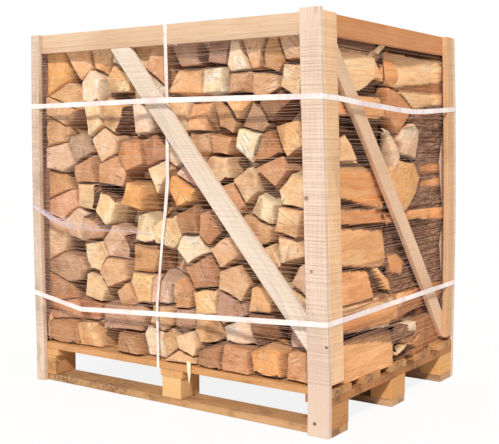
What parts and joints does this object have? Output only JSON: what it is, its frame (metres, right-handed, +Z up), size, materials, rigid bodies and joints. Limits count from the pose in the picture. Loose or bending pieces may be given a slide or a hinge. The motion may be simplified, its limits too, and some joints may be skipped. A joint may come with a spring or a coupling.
{
  "type": "pallet of firewood",
  "caption": "Split firewood stacked with its cut ends outward in a nailed board cage on a wooden block pallet, held by plastic straps; it stands free and is moved by a fork lift",
  "frame": {"origin": "on the ground, under the middle of the pallet", "axes": "+X to the right along the wide front, -Y out of the front that shows the cut ends, +Z up"},
  "size_m": [1.2088, 0.9114, 1.222],
  "materials": {
    "pallet_wood": "rough sawn softwood, honey coloured",
    "pale_board": "rough sawn softwood, pale",
    "warm_board": "rough sawn softwood, warm",
    "split_wood": "split and sawn hardwood, some with bark",
    "white_strap": "white polypropylene, slightly shiny"
  },
  "bodies": {
    "root": {"skid_front": "pallet_wood", "skid_middle": "pallet_wood", "skid_back": "pallet_wood", "block_front_left": "pallet_wood", "block_front_middle": "pallet_wood", "block_front_right": "pallet_wood", "block_middle_left": "pallet_wood", "block_middle_middle": "pallet_wood", "block_middle_right": "pallet_wood", "block_back_left": "pallet_wood", "block_back_middle": "pallet_wood", "block_back_right": "pallet_wood", "stringer_left": "pallet_wood", "stringer_middle": "pallet_wood", "stringer_right": "pallet_wood", "deck_board_1": "pallet_wood", "deck_board_2": "pallet_wood", "deck_board_3": "pallet_wood", "deck_board_4": "pallet_wood", "deck_board_5": "pallet_wood", "post_front_left_board": "pale_board", "post_front_right_board": "pale_board", "post_back_left_board": "pale_board", "post_back_right_board": "pale_board", "rail_front": "pale_board", "rail_back": "pale_board", "brace_front": "pale_board", "brace_back": "pale_board", "post_front_left_side_board": "warm_board", "post_front_right_side_board": "warm_board", "post_back_left_side_board": "warm_board", "post_back_right_side_board": "warm_board", "rail_left": "warm_board", "rail_right": "warm_board", "brace_left": "warm_board", "brace_right": "warm_board", "strap_upper": "white_strap", "strap_lower": "white_strap", "strap_vertical": "white_strap", "front_logs_course_1": "split_wood", "front_logs_course_2": "split_wood", "front_logs_course_3": "split_wood", "front_logs_course_4": "split_wood", "front_logs_course_5": "split_wood", "front_logs_course_6": "split_wood", "front_logs_course_7": "split_wood", "front_logs_course_8": "split_wood", "front_logs_course_9": "split_wood", "front_logs_course_10": "split_wood", "front_logs_course_11": "split_wood", "back_logs_course_1": "split_wood", "back_logs_course_2": "split_wood", "back_logs_course_3": "split_wood", "back_logs_course_4": "split_wood", "back_logs_course_5": "split_wood", "back_logs_course_6": "split_wood", "back_logs_course_7": "split_wood", "back_logs_course_8": "split_wood", "cross_logs_upper": "split_wood", "cross_logs_lower": "split_wood"}
  },
  "joints": []
}
